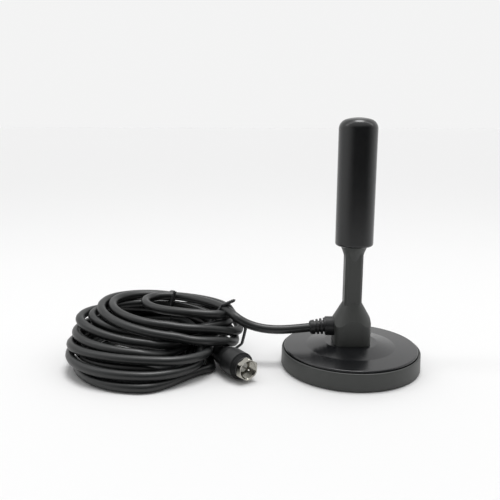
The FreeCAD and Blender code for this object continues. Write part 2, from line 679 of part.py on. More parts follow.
def radome():
    """Closed head: crown and side joined by a rounding, a socket for the mast's flange at the bottom."""
    body = new_body("radome")
    turned(body, "cover", [
        ("socket_radius", "radome_z"),
        ("radome_edge", "radome_z"),
        ("radome_radius", "radome_edge_z", "radome_round", 1),
        ("radome_radius", "dome_z"),
        ("dome_join", "dome_join_z", "dome_round", 1),
        ("0", "radome_top_z", "crown_radius", 1),
        ("0", "cavity_top_z"),
        ("cavity_join", "cavity_join_z", "cavity_crown", -1),
        ("cavity_side", "dome_z", "cavity_round", -1),
        ("cavity_side", "mast_top_z"),
        ("socket_radius", "mast_top_z"),
    ])
    return body


def antenna_board():
    body = new_body("antenna_board")
    outline = new_sketch(body, "board_outline", "XY_Plane", "board_z")
    add_outline(outline, [
        ("-board_half", "board_face"),
        ("board_half", "board_face"),
        ("board_half", "board_back"),
        ("-board_half", "board_back"),
    ])
    extruded(body, "board", outline, "board_length")
    return body


def radiator_foil():
    """Two copper arms on the board's front face."""
    body = new_body("radiator_foil")
    outline = new_sketch(body, "arms_outline", "XZ_Plane", "-board_face")
    for low, high in (("foil_z", "foil_mid_z"), ("foil_next_z", "foil_top_z")):
        add_outline(outline, [
            ("-foil_half", low),
            ("foil_half", low),
            ("foil_half", high),
            ("-foil_half", high),
        ])
    extruded(body, "arms", outline, "foil_thick")
    return body


def cylinder(name, radius, height, base, turn):
    """A cylinder whose base and sizes are named; turn is the rotation of its axis from +Z."""
    item = doc.addObject("Part::Cylinder", name)
    item.Placement = Placement(Vector(), turn)
    item.setExpression("Radius", cell(radius))
    item.setExpression("Height", height)
    for axis, expression in zip("xyz", base):
        item.setExpression(f"Placement.Base.{axis}", expression)
    return item


def feed_coax():
    """Stripped cable: in through the boot, round a quarter bend and up the mast to the board."""
    along_x = Rotation(Vector(0, 1, 0), 90)
    level = cylinder("feed_level", "feed_radius", "-sizes.core_end_x - sizes.feed_bend",
                     ("sizes.core_end_x", "0", "sizes.boot_z"), along_x)
    bend = doc.addObject("Part::Torus", "feed_elbow")
    stood_up = Rotation(Vector(1, 0, 0), 90)
    quarter_back = Rotation(Vector(0, 0, 1), -90)
    bend.Placement = Placement(Vector(), stood_up.multiply(quarter_back))
    bend.Angle3 = 90.0
    bend.setExpression("Radius1", "sizes.feed_bend")
    bend.setExpression("Radius2", "sizes.feed_radius")
    bend.setExpression("Placement.Base.x", "-sizes.feed_bend")
    bend.setExpression("Placement.Base.z", "sizes.boot_z + sizes.feed_bend")
    upright = cylinder("feed_upright", "feed_radius", "sizes.feed_top_z - sizes.boot_z - sizes.feed_bend",
                       ("0", "0", "sizes.boot_z + sizes.feed_bend"), Rotation())
    joined = doc.addObject("Part::MultiFuse", "feed_coax")
    joined.Shapes = [level, bend, upright]
    return joined


def boot_outline(body, name):
    """A sketch along the boot's hanging taper, measured from the middle of the collar's outer face."""
    sketch = new_sketch(body, name, "XZ_Plane")
    sketch.setExpression("AttachmentOffset.Base.y", cell("boot_collar_length"))
    sketch.setExpression("AttachmentOffset.Rotation.Angle", cell("boot_droop"))
    return sketch


def cable_boot():
    """Strain relief: flange behind the wall, collar outside it, a hanging taper with grooves."""
    body = new_body("cable_boot")
    turned(body, "collar", [
        ("boot_bore", "boot_back"),
        ("boot_flange", "boot_back"),
        ("boot_flange", "boot_seat"),
        ("boot_neck", "boot_seat"),
        ("boot_neck", "0"),
        ("boot_collar", "0"),
        ("boot_collar", "boot_collar_length"),
        ("0", "boot_collar_length"),
        ("0", "boot_core"),
        ("boot_bore", "boot_core"),
    ])
    turned(body, "taper", [
        ("0", "-taper_sunk"),
        ("boot_ring", "-taper_sunk"),
        ("boot_ring", "0"),
        ("boot_sleeve", "taper_length"),
        ("boot_tip", "taper_end"),
        ("0", "taper_end"),
    ], sketch=boot_outline(body, "taper_outline"))
    groove = cut_volume(body, lambda: turned(body, "ring_groove", [
        ("groove_root", "groove_start"),
        ("groove_clear", "groove_start"),
        ("groove_clear", "groove_end"),
        ("groove_root", "groove_end"),
    ], "PartDesign::Groove", boot_outline(body, "ring_groove_outline")))
    rings = body.newObject("PartDesign::LinearPattern", "ring_grooves")
    rings.Originals = [groove]
    rings.Direction = (groove.Profile[0], ["V_Axis"])
    rings.setExpression("Occurrences", cell("groove_count"))
    rings.setExpression("Length", "(sizes.groove_count - 1) * sizes.groove_pitch")
    body.Tip = rings
    body.Placement = Placement(Vector(), Rotation(Vector(0, 1, 0), -90))
    body.setExpression("Placement.Base.x", cell("-foot_half"))
    body.setExpression("Placement.Base.z", cell("boot_z"))
    return body


def tangent_path(points):
    """A route as straight runs joined by tangent arcs, each arc as large as its two runs allow."""
    share = 0.45
    edges, radii = [], []
    start = points[0]
    for before, corner, after in zip(points, points[1:], points[2:]):
        run_in, run_out = corner - before, after - corner
        turn = run_in.getAngle(run_out)
        reach = share * min(run_in.Length, run_out.Length)
        entry = corner - run_in.normalize() * reach
        leave = corner + run_out.normalize() * reach
        radius = reach / math.tan(turn / 2)
        bow = (entry + leave) * 0.5 - corner
        crest = corner + bow.normalize() * (radius / math.cos(turn / 2) - radius)
        edges.append(Part.LineSegment(start, entry).toShape())
        edges.append(Part.Arc(entry, crest, leave).toShape())
        radii.append(round(radius, 1))
        start = leave
    edges.append(Part.LineSegment(start, points[-1]).toShape())
    return Part.Wire(edges), radii


def cable_tube(label, points):
    """A plain round tube along a route of the lead."""
    path, radii = tangent_path(points)
    heading = points[1] - points[0]
    section = Part.Wire(Part.makeCircle(size("cable_radius"), points[0], heading))
    tube = doc.addObject("Part::Feature", label)
    tube.Shape = path.makePipeShell([section], True, False)
    expected = math.pi * size("cable_radius") ** 2 * path.Length
    print(f"{label}: length {path.Length:.1f}, radii {radii}, volume share {tube.Shape.Volume / expected:.4f}")
    return tube


def cable_run():
    """From the boot's tip, first straight on, then down a little and up onto the coil."""
    droop = math.radians(size("boot_droop"))
    start = Vector(size("boot_end_x"), 0, size("boot_end_z"))
    ahead = Vector(-math.cos(droop), 0, -math.sin(droop))
    points = [start, start + ahead * size("straight_lead")] + [Vector(*point) for point in RUN_ROUTE]
    return cable_tube("cable_run", points)


def cable_tail():
    """From the plug's sleeve, first straight on, then down to the table inside the coil."""
    plug = plug_placement()
    start = plug.Base
    back = plug.Rotation.multVec(Vector(0, 0, -1))
    points = [start, start + back * size("straight_lead")] + [Vector(*point) for point in TAIL_ROUTE]
    return cable_tube("cable_tail", points)


def ellipse_loft(name, sections):
    """A loft through level ellipses."""
    loft = doc.addObject("Part::Loft", name)
    rings = []
    for index, (share, middle_x, middle_y, length, depth) in enumerate(sections):
        ring = doc.addObject("Part::Ellipse", f"{name}_{index}")
        ring.MajorRadius = length
        ring.MinorRadius = depth
        ring.Placement.Base = Vector(middle_x, middle_y, 0)
        ring.setExpression("Placement.Base.z", f"sizes.coil_height * {share}")
        rings.append(ring)
    loft.Sections = rings
    loft.Solid = True
    return loft


def difference(name, base, tool):
    cut = doc.addObject("Part::Cut", name)
    cut.Base = base
    cut.Tool = tool
    return cut


def cable_coil():
    """Outer shape of the coil, open in the middle, raised at its tied end where the plug lies under it."""
    outside = ellipse_loft("coil_outside", COIL_OUTSIDE)
    middle = ellipse_loft("coil_middle", COIL_MIDDLE)
    ring = difference("coil_ring", outside, middle)
    room = 100.0
    lift = doc.addObject("Part::Box", "coil_lift")
    lift.Length = room
    lift.Width = 2 * room
    lift.Height = room
    tilt = Rotation(Vector(0, 1, 0), -size("coil_lift_angle"))
    slope = Placement(Vector(size("coil_lift_start"), 0, 0), tilt)
    lift.Placement = slope.multiply(Placement(Vector(0, -room, -room), Rotation()))
    raised = difference("coil_raised", ring, lift)
    tunnel = doc.addObject("Part::Cylinder", "plug_tunnel")
    tunnel.setExpression("Radius", cell("tunnel_radius"))
    tunnel.Height = room / 2
    tunnel.Placement = plug_placement().multiply(Placement(Vector(0, 0, -size("tunnel_start")), Rotation()))
    tunnelled = difference("coil_over_plug", raised, tunnel)
    slot = doc.addObject("Part::Box", "tie_slot")
    slot.setExpression("Length", "sizes.tie_width + 2 * sizes.tie_gap")
    slot.setExpression("Height", "sizes.tie_thick + sizes.tie_gap")
    slot.Width = room
    slot.setExpression("Placement.Base.x", "sizes.back_tie_x - sizes.tie_gap")
    return difference("cable_coil", tunnelled, slot)


def plug_placement():
    """Where the plug lies: its own Z axis along the plug, from the cable to the mouth."""
    turn = math.radians(size("plug_turn"))
    ahead = Vector(math.sin(turn), -math.cos(turn), 0)
    mouth = Vector(size("plug_mouth_x"), size("plug_mouth_y"), size("sleeve_radius"))
    return Placement(mouth - ahead * size("nut_front"), Rotation(Vector(0, 0, 1), ahead))


def plug_sleeve():
    """Moulded sleeve: a long taper from the cable, a straight part and a nose with rings round it."""
    body = new_body("plug_sleeve")
    steps = [("0", "0"), ("sleeve_tip", "0"), ("sleeve_radius", "sleeve_taper"), ("sleeve_radius", "nose_s")]
    for ring in range(1, NOSE_RINGS + 1):
        steps += [(f"ring_{ring}", f"ring_{ring}_s"), (f"ring_{ring}", f"ring_{ring}_land")]
        if ring < NOSE_RINGS:
            steps += [(f"ring_{ring}_root", f"ring_{ring}_land"), (f"ring_{ring}_root", f"ring_{ring}_end")]
        else:
            steps += [(f"ring_{ring}_root", "sleeve_end")]
    steps += [("nose_bore", "sleeve_end"), ("nose_bore", "nose_floor")]
    steps += [("post_radius", "nose_floor"), ("post_radius", "post_back"), ("0", "post_back")]
    turned(body, "sleeve", steps)
    body.Placement = plug_placement()
    return body


def plug_post():
    """Metal post: tube in the sleeve, collar at the bottom of its nose and the flange that holds the nut."""
    body = new_body("plug_post")
    turned(body, "post", [
        ("post_hole", "post_back"),
        ("post_radius", "post_back"),
        ("post_radius", "nose_floor"),
        ("collar_radius", "nose_floor"),
        ("collar_radius", "collar_end"),
        ("post_radius", "collar_end"),
        ("post_radius", "flange_back"),
        ("post_flange", "flange_back"),
        ("post_flange", "flange_end"),
        ("post_hole", "flange_end"),
    ])
    body.Placement = plug_placement()
    return body


def plug_nut():
    """Nut: round in the nose, a hexagon in front of it, a threaded hole and a lip behind the post's flange."""
    body = new_body("plug_nut")
    turned(body, "round_rear", [
        ("0", "nut_back"),
        ("nut_round", "nut_back"),
        ("nut_round", "nut_front"),
        ("0", "nut_front"),
    ])
    hexagon = new_sketch(body, "hexagon_outline", "XY_Plane", "hexagon_s")
    add_outline(hexagon, [
        ("nut_corner", "0"),
        ("nut_corner_half", "nut_half"),
        ("-nut_corner_half", "nut_half"),
        ("-nut_corner", "0"),
        ("-nut_corner_half", "-nut_half"),
        ("nut_corner_half", "-nut_half"),
    ])
    extruded(body, "hexagon", hexagon, "hexagon_length")
    bevels = (("front", "nut_front", "nut_front_bevel"), ("back", "hexagon_s", "nut_back_bevel"))
    for name, end, inner in bevels:
        cut_volume(body, lambda: turned(body, f"{name}_bevel", [
            ("nut_crown", end),
            ("nut_reach", end),
            ("nut_reach", inner),
        ], "PartDesign::Groove"))
    cut_volume(body, lambda: turned(body, "threaded_hole", [
        ("0", "nut_back"),
        ("lip_radius", "nut_back"),
        ("lip_radius", "lip_end"),
        ("nut_bore", "lip_end"),
        ("nut_bore", "mouth_s"),
        ("mouth_radius", "nut_front"),
        ("0", "nut_front"),
    ], "PartDesign::Groove"))
    body.Placement = plug_placement()
    return body


def plug_insulator():
    body = new_body("plug_insulator")
    turned(body, "insulator", [
        ("pin_hole", "post_back"),
        ("insulator_radius", "post_back"),
        ("insulator_radius", "flange_end"),
        ("pin_hole", "flange_end"),
    ])
    body.Placement = plug_placement()
    return body


def plug_pin():
    body = new_body("plug_pin")
    turned(body, "pin", [
        ("0", "post_back"),
        ("pin_radius", "post_back"),
        ("pin_radius", "pin_shoulder"),
        ("pin_point", "pin_tip"),
        ("0", "pin_tip"),
    ])
    body.Placement = plug_placement()
    return body


def tie_right():
    """Twist tie round the coil's tied end, with its twisted end up."""
    body = new_body("tie_right")
    sides = ("right_tie_near", "right_tie_down", "right_tie_far", "right_tie_up")
    band = new_sketch(body, "right_band_outline", "XZ_Plane", "-right_tie_y")
    add_outline(band, rounded_rectangle(
        "right_tie_left", "right_tie_low", "right_tie_right", "right_tie_high", sides, "tie_round"))
    add_outline(band, rounded_rectangle(
        "right_tie_out_left", "right_tie_out_low", "right_tie_out_right", "right_tie_out_high",
        sides, "tie_outer_round"))
    extruded(body, "right_band", band, "tie_width")
    tail = new_sketch(body, "right_tail_outline", "XY_Plane", "right_tie_high")
    add_circle(tail, "right_tail_x", "right_tail_y", "tail_radius")
    extruded(body, "right_tail", tail, "tail_length")
    return body


def tie_back():
    """Twist tie round the coil's back, with its twisted end up on the inside."""
    body = new_body("tie_back")
    sides = ("back_tie_near", "back_tie_down", "back_tie_far", "back_tie_up")
    band = new_sketch(body, "back_band_outline", "YZ_Plane", "back_tie_x")
    add_outline(band, rounded_rectangle(
        "back_tie_front", "back_tie_low", "back_tie_rear", "back_tie_high", sides, "tie_round"))
    add_outline(band, rounded_rectangle(
        "back_tie_out_front", "0", "back_tie_out_rear", "back_tie_out_high", sides, "tie_outer_round"))
    extruded(body, "back_band", band, "tie_width")
    tail = new_sketch(body, "back_tail_outline", "XY_Plane", "back_tie_up")
    add_circle(tail, "back_tail_x", "back_tail_y", "tail_radius")
    extruded(body, "back_tail", tail, "tail_length")
    return body


def check(pieces):
    """Stop if any object failed to build or a piece has no valid solid."""
    doc.recompute()
    failed = [item.Name for item in doc.Objects if {"Invalid", "Error"} & set(item.State)]
    failed += [piece.Label for piece in pieces if piece.Shape.isNull() or not piece.Shape.isValid()]
    failed += [piece.Label for piece in pieces if not piece.Shape.Solids]
    if failed:
        raise RuntimeError(f"not built: {sorted(set(failed))}")


def main():
    fill_sheet()
    makers = [
        foot_pad, base_skirt, magnet_ring, steel_disc, base_cover, mast_screws,
        mast, radome, antenna_board, radiator_foil, feed_coax,
        cable_boot, cable_run, cable_coil, cable_tail, tie_right, tie_back,
        plug_sleeve, plug_post, plug_nut, plug_insulator, plug_pin,
    ]
    pieces = [make() for make in makers]
    check(pieces)
    os.makedirs("parts", exist_ok=True)
    for piece in pieces:
        piece.Shape.exportStep(f"parts/{piece.Label}.step")


main()
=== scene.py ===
"""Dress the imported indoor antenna: finishes, loose lead, twist ties, plug thread and stage."""
import json
import math

import bmesh
import bpy
import numpy as np
from bpy.props import FloatProperty, FloatVectorProperty, PointerProperty
from mathutils import Matrix, Vector


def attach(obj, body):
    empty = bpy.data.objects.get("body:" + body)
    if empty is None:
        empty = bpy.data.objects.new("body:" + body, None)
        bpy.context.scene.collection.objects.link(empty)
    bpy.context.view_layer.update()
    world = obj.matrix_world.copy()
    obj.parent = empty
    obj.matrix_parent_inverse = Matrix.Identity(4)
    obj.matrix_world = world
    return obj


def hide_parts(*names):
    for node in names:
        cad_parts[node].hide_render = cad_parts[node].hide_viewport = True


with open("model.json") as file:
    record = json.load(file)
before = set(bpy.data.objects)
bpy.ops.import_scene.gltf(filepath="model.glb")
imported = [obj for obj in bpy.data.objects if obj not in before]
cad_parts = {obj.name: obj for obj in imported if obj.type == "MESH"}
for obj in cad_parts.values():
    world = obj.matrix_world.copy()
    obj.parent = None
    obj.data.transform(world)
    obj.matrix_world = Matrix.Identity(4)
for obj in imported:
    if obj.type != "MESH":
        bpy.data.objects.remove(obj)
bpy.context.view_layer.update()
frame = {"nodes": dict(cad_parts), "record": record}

bl_info = {
    "name": "Indoor antenna dressing",
    "version": (1, 0, 0),
    "blender": (4, 5, 0),
    "location": "View3D > Sidebar > Antenna",
    "description": "Finishes, lead, ties, plug and stage for a small indoor antenna",
    "category": "Object",
}

MM = 0.001
MAIN_BODY = "antenna"
NUT_BODY = "coupling_nut"
NODES = frame["nodes"]
NUT_JOINT = next(j for j in frame["record"]["behaviour"]["joints"] if j["name"] == "nut_spin")
PLUG_AXIS = Vector(NUT_JOINT["axis"]).normalized()


# Colours, nodes and objects

def linear(code):
    """Turn an sRGB hex colour such as "#1b1c1e" into linear red, green and blue."""
    shares = [int(code[i:i + 2], 16) / 255 for i in (1, 3, 5)]
    return tuple(s / 12.92 if s <= 0.04045 else ((s + 0.055) / 1.055) ** 2.4 for s in shares)


def add_node(tree, kind, values=None, links=None, **settings):
    """Add one node with its settings, its socket values and the sockets that feed it."""
    node = tree.nodes.new(kind)
    for name, value in settings.items():
        setattr(node, name, value)
    for socket, value in (values or {}).items():
        node.inputs[socket].default_value = value
    for socket, source in (links or {}).items():
        tree.links.new(source, node.inputs[socket])
    return node


def new_material(name, colour, constants):
    """A material of one colour, with what is the same all over it set on its shader."""
    material = bpy.data.materials.new(name)
    material.use_nodes = True
    shader = material.node_tree.nodes["Principled BSDF"]
    shader.inputs["Base Color"].default_value = (*colour, 1)
    for socket, value in constants.items():
        shader.inputs[socket].default_value = value
    return material, material.node_tree, shader


def add_object(name, data):
    """Put a new object into the scene."""
    item = bpy.data.objects.new(name, data)
    bpy.context.collection.objects.link(item)
    return item


def dressing():
    """The property group that holds the sizes and colours of this dressing."""
    return bpy.context.scene.antenna_dressing


# Materials

# What is the same all over each kind of material, from typical values
ABS = {"IOR": 1.53}
PVC = {"IOR": 1.54}
RUBBER = {"IOR": 1.52}
LAMINATE = {"IOR": 1.55}
POLYETHYLENE = {"IOR": 1.51}
FERRITE = {"IOR": 1.5}
METAL = {"Metallic": 1.0}

# Colours that a user has no need to change: inside and under the case, and in the plug
RUBBER_BLACK = linear("#1a1a1a")
FERRITE_GREY = linear("#2c2d2f")
ZINC_GREY = linear("#b4b8bc")
BOARD_GREEN = linear("#24563a")
COPPER_PINK = linear("#c98a63")
FOAM_WHITE = linear("#ecebe4")
TIN_SILVER = linear("#cfcdc8")


def mottled(name, colour, constants, roughness, size, detail):
    """A material whose gloss varies between two roughnesses, in blotches of a real size."""
    material, tree, shader = new_material(name, colour, constants)
    place = add_node(tree, "ShaderNodeTexCoord")
    blotches = add_node(tree, "ShaderNodeTexNoise", {"Scale": 1 / size, "Detail": detail},
                        {"Vector": place.outputs["Object"]})
    gloss = add_node(tree, "ShaderNodeMapRange", {"To Min": roughness[0], "To Max": roughness[1]},
                     {"Value": blotches.outputs["Fac"]})
    tree.links.new(gloss.outputs["Result"], shader.inputs["Roughness"])
    return material


def uneven(material, size, detail, strength, height):
    """The same material with bumps of a real size and height in its surface."""
    tree = material.node_tree
    place = add_node(tree, "ShaderNodeTexCoord")
    bumps = add_node(tree, "ShaderNodeTexNoise", {"Scale": 1 / size, "Detail": detail},
                     {"Vector": place.outputs["Object"]})
    relief = add_node(tree, "ShaderNodeBump", {"Strength": strength, "Distance": height},
                      {"Height": bumps.outputs["Fac"]})
    tree.links.new(relief.outputs["Normal"], tree.nodes["Principled BSDF"].inputs["Normal"])
    return material


def moulded_abs_gloss(colour):
    """Injection moulded ABS from a polished mould, as the base cover is."""
    # A polished mould leaves a dark soft mirror with a faint waviness and a breath of dust in its gloss.
    dust_size = 1.6 * MM
    wave_size = 9 * MM
    material = mottled("abs_moulded_gloss_black", colour, ABS,
                       roughness=(0.2, 0.28), size=dust_size, detail=5.0)
    return uneven(material, size=wave_size, detail=1.0, strength=0.12, height=0.05 * MM)


def moulded_abs_polished(colour):
    """Injection moulded ABS from a buffed mould, as the radome is."""
    # The buffed mould gives long soft reflections, dulled here and there by handling.
    smear_size = 7 * MM
    dust_size = 0.9 * MM
    material = mottled("abs_moulded_polished_black", colour, ABS,
                       roughness=(0.2, 0.3), size=smear_size, detail=4.0)
    return uneven(material, size=dust_size, detail=2.0, strength=0.08, height=0.03 * MM)


def moulded_abs_satin(colour):
    """Injection moulded ABS from a fine spark-eroded mould, as the skirt and mast are."""
    # The eroded mould prints a fine even grain, so highlights spread into soft bands.
    # The real grain is under a tenth of a millimetre, and is drawn coarser so that it shows.
    patch_size = 6 * MM
    grain_size = 0.35 * MM
    material = mottled("abs_moulded_satin_black", colour, ABS,
                       roughness=(0.40, 0.50), size=patch_size, detail=3.0)
    return uneven(material, size=grain_size, detail=2.0, strength=0.18, height=0.03 * MM)


def moulded_pvc(colour):
    """Soft PVC moulded over the cable, as the boot and the plug's sleeve are."""
    # Soft PVC moulds a little dull and cloudy, with a waxy highlight.
    # Its fine grain is drawn coarser so that it shows.
    cloud_size = 3 * MM
    grain_size = 0.4 * MM
    material = mottled("pvc_overmoulded_black", colour, PVC,
                       roughness=(0.38, 0.52), size=cloud_size, detail=4.0)
    return uneven(material, size=grain_size, detail=2.0, strength=0.2, height=0.04 * MM)


def extruded_pvc(colour):
    """PVC jacket extruded over the coaxial cable."""
    # Drawn through a die, it is smooth along its length, with a pale satin line where it faces the light.
    cloud_size = 12 * MM
    drag_size = 0.7 * MM
    material = mottled("pvc_extruded_jacket_black", colour, PVC,
                       roughness=(0.30, 0.44), size=cloud_size, detail=4.0)
    return uneven(material, size=drag_size, detail=2.0, strength=0.12, height=0.04 * MM)


def coated_tie(colour):
    """PVC coated twist-tie wire."""
    # The thin coat creases where it is twisted, which breaks its shine into flecks.
    crease_size = 0.9 * MM
    material = mottled("pvc_coated_tie_wire_black", colour, PVC,
                       roughness=(0.26, 0.46), size=crease_size, detail=3.0)
    return uneven(material, size=crease_size, detail=3.0, strength=0.35, height=0.06 * MM)


def moulded_rubber():
    """Moulded rubber of the pad under the base."""
    # Rubber is matt and slightly bloomed, so it has no clear highlight.
    bloom_size = 4 * MM
    return mottled("rubber_moulded_matt_black", RUBBER_BLACK, RUBBER,
                   roughness=(0.72, 0.88), size=bloom_size, detail=4.0)


def plated_nickel(colour):
    """Nickel plate over turned brass, as the plug's nut and post are."""
    # Turning leaves fine marks under the plate, which break up the edges of its bright reflections.
    # The real marks are about a tenth of a millimetre apart, and are drawn coarser so that they show.
    stain_size = 2.5 * MM
    mark_size = 0.5 * MM
    material = mottled("nickel_plated_turned_brass", colour, METAL,
                       roughness=(0.08, 0.2), size=stain_size, detail=4.0)
    return uneven(material, size=mark_size, detail=1.0, strength=0.1, height=0.02 * MM)


def zinc_steel():
    """Zinc plated steel of the weight disc and screws."""
    # Zinc plate is a soft blue-grey metal with cloudy patches.
    cloud_size = 3 * MM
    return mottled("steel_zinc_plated", ZINC_GREY, METAL,
                   roughness=(0.32, 0.5), size=cloud_size, detail=4.0)


def rolled_copper():
    """Rolled copper of the radiator foil."""
    # Bare copper is a warm pink metal, dulled in patches by tarnish.
    stain_size = 2 * MM
    return mottled("copper_rolled_bare", COPPER_PINK, METAL,
                   roughness=(0.2, 0.38), size=stain_size, detail=3.0)


def tinned_copper():
    """Tinned copper wire of the plug's pin."""
    # Hot tin flows over the wire and sets as a bright, faintly clouded silver.
    cloud_size = 0.8 * MM
    return mottled("copper_drawn_tinned", TIN_SILVER, METAL,
                   roughness=(0.18, 0.34), size=cloud_size, detail=3.0)


def glass_laminate():
    """Glass cloth and epoxy laminate of the antenna board."""
    # The glass weave shows through the resin as a faint square check.
    material, tree, shader = new_material("laminate_glass_epoxy_green", BOARD_GREEN, LAMINATE)
    thread_pitch = 0.6 * MM
    place = add_node(tree, "ShaderNodeTexCoord")
    weave = add_node(tree, "ShaderNodeTexChecker", {"Scale": 1 / thread_pitch},
                     {"Vector": place.outputs["Object"]})
    gloss = add_node(tree, "ShaderNodeMapRange", {"To Min": 0.3, "To Max": 0.38},
                     {"Value": weave.outputs["Fac"]})
    tree.links.new(gloss.outputs["Result"], shader.inputs["Roughness"])
    return material


def foamed_polyethylene():
    """White polyethylene insulation of the coaxial line."""
    # Foamed polyethylene is a waxy, soft white. Its cells are drawn coarser so that they show.
    cell_size = 0.5 * MM
    return mottled("polyethylene_extruded_white", FOAM_WHITE, POLYETHYLENE,
                   roughness=(0.4, 0.55), size=cell_size, detail=2.0)


def sintered_ferrite():
    """Sintered ferrite of the ring magnet."""
    # Pressed and fired powder is a dull charcoal grey with a fine grit, drawn coarser so that it shows.
    grit_size = 0.5 * MM
    return mottled("ferrite_sintered_charcoal", FERRITE_GREY, FERRITE,
                   roughness=(0.55, 0.75), size=grit_size, detail=3.0)


def finish_nodes(material, *names):
    """Give CAD nodes their material."""
    for name in names:
        slots = NODES[name].data.materials
        slots.clear()
        slots.append(material)


# The lead's route, in metres

RUN_ROUTE = [
    (-0.023842, 0.0, 0.022081), (-0.030201, 0.0, 0.021357), (-0.0395, 0.0002, 0.0205),
    (-0.0475, 0.0006, 0.0206), (-0.0550, 0.0014, 0.0217), (-0.0615, 0.0024, 0.0240),
    (-0.0665, 0.0035, 0.0270),
]
# The small loop on top, which the run goes into
TOP_LOOP = [
    (-0.0710, 0.0100, 0.0283), (-0.0750, 0.0155, 0.0288), (-0.0795, 0.0204, 0.0291),
    (-0.0845, 0.0250, 0.0293), (-0.0900, 0.0290, 0.0295), (-0.0970, 0.0326, 0.0299),
    (-0.1050, 0.0352, 0.0304), (-0.1125, 0.0350, 0.0307), (-0.1190, 0.0314, 0.0309),
    (-0.1222, 0.0248, 0.0312), (-0.1204, 0.0178, 0.0304), (-0.1148, 0.0128, 0.0296),
    (-0.1080, 0.0096, 0.0292), (-0.1010, 0.0076, 0.0290), (-0.0940, 0.0062, 0.0287),
    (-0.0880, 0.0055, 0.0284), (-0.0825, 0.0054, 0.0280), (-0.0772, 0.0062, 0.0274),
    (-0.0724, 0.0092, 0.0264),
]
# Each turn of the coil from the top down: its right, back, left, front and near right corner
TURNS = [
    [(-0.0688, 0.0170, 0.0248), (-0.1120, 0.0405, 0.0287), (-0.1416, 0.0190, 0.0318),
     (-0.1040, -0.0082, 0.0246), (-0.0840, -0.0056, 0.0224)],
    [(-0.0662, 0.0080, 0.0134), (-0.1120, 0.0452, 0.0262), (-0.1466, 0.0130, 0.0298),
     (-0.0980, -0.0160, 0.0184), (-0.0780, -0.0110, 0.0150)],
    [(-0.0672, 0.0070, 0.0082), (-0.1120, 0.0398, 0.0244), (-0.1512, 0.0110, 0.0284),
     (-0.1120, -0.0070, 0.0176), (-0.0900, -0.0010, 0.0172)],
    [(-0.0704, 0.0145, 0.0194), (-0.1120, 0.0450, 0.0206), (-0.1505, 0.0090, 0.0228),
     (-0.1110, -0.0030, 0.0098), (-0.0900, 0.0020, 0.0094)],
    [(-0.0734, 0.0170, 0.0094), (-0.1120, 0.0398, 0.0189), (-0.1564, 0.0060, 0.0264),
     (-0.1140, -0.0152, 0.0144), (-0.0960, -0.0076, 0.0126)],
    [(-0.0806, 0.0080, 0.0152), (-0.1120, 0.0450, 0.0160), (-0.1588, 0.0030, 0.0206),
     (-0.1180, -0.0246, 0.0154), (-0.1000, -0.0120, 0.0102)],
    [(-0.0882, 0.0030, 0.0136), (-0.1120, 0.0398, 0.0138), (-0.1600, -0.0030, 0.0152),
     (-0.1060, -0.0312, 0.0135), (-0.0860, -0.0216, 0.0112)],
    [(-0.0820, -0.0055, 0.0104), (-0.1120, 0.0450, 0.0102), (-0.1608, -0.0030, 0.0102),
     (-0.1160, -0.0384, 0.0088), (-0.0870, -0.0230, 0.0076)],
    [(-0.0846, 0.0010, 0.0116), (-0.1120, 0.0398, 0.0082), (-0.1555, -0.0010, 0.0080),
     (-0.1140, -0.0300, 0.0094), (-0.0980, -0.0164, 0.0050)],
    [(-0.0975, 0.0080, 0.0070), (-0.1240, 0.0405, 0.0027), (-0.1515, 0.0040, 0.0026),
     (-0.1130, -0.0334, 0.0027), (-0.0990, -0.0210, 0.0032)],
    [(-0.0920, 0.0080, 0.0122), (-0.1300, 0.0456, 0.0030), (-0.1586, 0.0040, 0.0026),
     (-0.1160, -0.0394, 0.0027), (-0.0870, -0.0166, 0.0027)],
]
# The last small turn inside the coil, on the floor
LAST_LOOP = [
    (-0.0799, -0.0106, 0.0026), (-0.0824, 0.0015, 0.0026), (-0.0806, 0.0130, 0.0028),
    (-0.0784, 0.0240, 0.0034), (-0.0776, 0.0330, 0.0040), (-0.0802, 0.0416, 0.0044),
    (-0.0860, 0.0466, 0.0044), (-0.0926, 0.0472, 0.0040), (-0.0986, 0.0440, 0.0034),
    (-0.1020, 0.0380, 0.0028), (-0.1020, 0.0316, 0.0026),
]
TAIL_ROUTE = [
    (-0.0986, 0.0266, 0.0029), (-0.0926, 0.0204, 0.0042), (-0.0874, 0.0139, 0.0064),
    (-0.08356, 0.008561, 0.0075), (-0.079982, 0.003255, 0.0075),
]
# Points at the end of the last loop that lie still while the other turns give way
SETTLED_POINTS = 7
POINTS_IN_BEND = 10
# How far a bend runs on before it turns, as a share of its reach: round the coil, along its front,
# on the slant through its near right corner, and into the right end of the next turn
ROUND_SHARE = 0.55
FRONT_SHARE = 0.4
SLANT_SHARE = 0.36
END_SHARE = 0.5


def bend(start, end, leaving, arriving):
    """Points of one bend, by how far and which way it leaves its start and arrives at its end."""
    share = np.linspace(0, 1, POINTS_IN_BEND, endpoint=False)[:, None]
    rest = 1 - share
    first, second = start + leaving, end - arriving
    points = rest**3 * start + 3 * rest**2 * share * first + 3 * rest * share**2 * second + share**3 * end
    points[:, 2] = (rest * start[2] + share * end[2])[:, 0]
    return points


